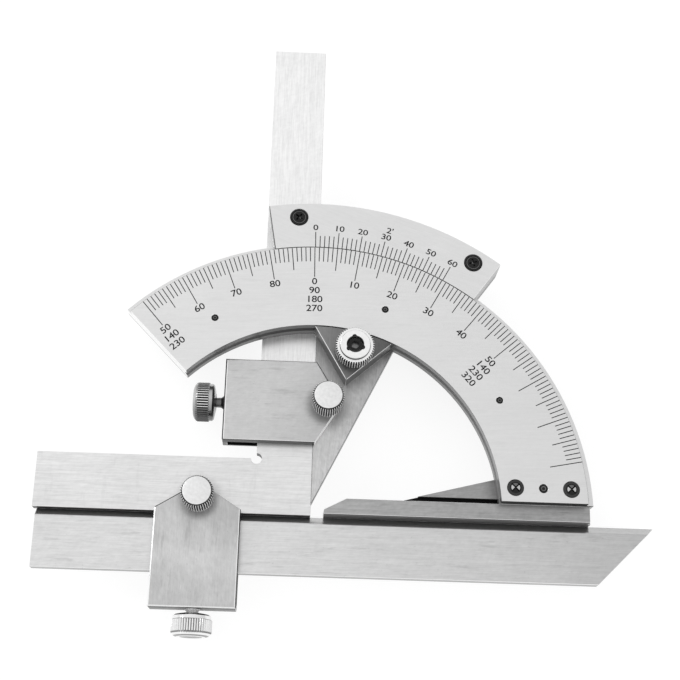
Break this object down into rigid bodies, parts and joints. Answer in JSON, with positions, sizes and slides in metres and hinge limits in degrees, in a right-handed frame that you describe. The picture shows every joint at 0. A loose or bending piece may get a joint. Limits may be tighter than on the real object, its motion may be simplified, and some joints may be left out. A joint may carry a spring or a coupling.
{
  "type": "universal bevel protractor",
  "caption": "Angle finder: a curved graduated scale with vernier turns on a fan plate, and knurled clamps hold a square and a mitred straight blade to it.",
  "frame": {"origin": "centre of the angle scale, on the plane of the fan plate's back, where a work piece's corner sits", "axes": "+X along the straight blade towards its mitred tip, +Y along the upright arm of the square, +Z out of the graduated face"},
  "size_m": [0.1509, 0.1571, 0.0203],
  "materials": {
    "satin_steel": "satin, graduated face",
    "bright_steel": "brushed stainless",
    "ground_steel": "ground, brushed",
    "plate_steel": "ground",
    "dark_steel": "dark ground",
    "rule_steel": "ground, brownish grey",
    "knob_chrome": "knurled, bright",
    "black_steel": "blackened",
    "gear_brass": "machined"
  },
  "bodies": {
    "fan_body": {"fan_plate": "plate_steel", "vernier_seat": "satin_steel", "vernier_plate": "satin_steel", "vernier_screws": "black_steel", "seat_screws": "black_steel", "guide_block": "dark_steel", "block_dowels": "ground_steel", "brake_stud": "black_steel", "brake_washer": "ground_steel", "pinion_bush": "gear_brass", "square_clamp": "ground_steel", "square_pad": "ground_steel"},
    "scale_body": {"main_scale": "satin_steel", "sector_gear": "ground_steel", "gear_pins": "black_steel", "base_rule": "rule_steel", "base_screws": "black_steel", "base_dowel": "black_steel"},
    "pinion_body": {"pinion": "gear_brass", "pinion_knob": "knob_chrome", "pinion_knob_screw": "black_steel"},
    "nut_body": {"brake_nut": "knob_chrome"},
    "square_knob_body": {"square_clamp_knob": "knob_chrome"},
    "square_screw_body": {"square_pad_screw": "knob_chrome"},
    "square_body": {"try_square": "bright_steel", "blade_clamp": "ground_steel", "blade_pad": "ground_steel"},
    "blade_body": {"blade": "bright_steel"},
    "blade_knob_body": {"blade_clamp_knob": "knob_chrome"},
    "blade_screw_body": {"blade_pad_screw": "knob_chrome"}
  },
  "joints": [
    {"name": "scale_turn", "type": "hinge", "parent": "fan_body", "child": "scale_body", "pos_m": [0, 0, 0], "axis": [0, 0, 1], "range_deg": [0, 50]},
    {"name": "pinion_turn", "type": "hinge", "parent": "fan_body", "child": "pinion_body", "pos_m": [0.01489, 0.05657, 0], "axis": [0, 0, 1], "range_deg": [-975, 10]},
    {"name": "brake_nut_turn", "type": "hinge", "parent": "fan_body", "child": "nut_body", "pos_m": [0.00918, 0.03914, 0.0114], "axis": [0, 0, 1], "range_deg": [-170, 170]},
    {"name": "square_knob_turn", "type": "hinge", "parent": "fan_body", "child": "square_knob_body", "pos_m": [0.00305, 0.0266, 0.0056], "axis": [0, 0, 1], "range_deg": [-170, 170]},
    {"name": "square_screw_turn", "type": "hinge", "parent": "fan_body", "child": "square_screw_body", "pos_m": [-0.0249, 0.0266, 0.00145], "axis": [1, 0, 0], "range_deg": [-170, 170]},
    {"name": "square_slide", "type": "slide", "parent": "fan_body", "child": "square_body", "axis": [0, 1, 0], "range_m": [-0.04, 0]},
    {"name": "blade_knob_turn", "type": "hinge", "parent": "square_body", "child": "blade_knob_body", "pos_m": [-0.02725, 0.00205, 0.0056], "axis": [0, 0, 1], "range_deg": [-170, 170]},
    {"name": "blade_screw_turn", "type": "hinge", "parent": "square_body", "child": "blade_screw_body", "pos_m": [-0.02725, -0.0254, 0.00145], "axis": [0, 1, 0], "range_deg": [-170, 170]},
    {"name": "blade_slide", "type": "slide", "parent": "square_body", "child": "blade_body", "axis": [1, 0, 0], "range_m": [-0.025, 0.025]}
  ],
  "couplings": [
    {"joint": "pinion_turn", "follows": "scale_turn", "ratio": -18.5}
  ]
}
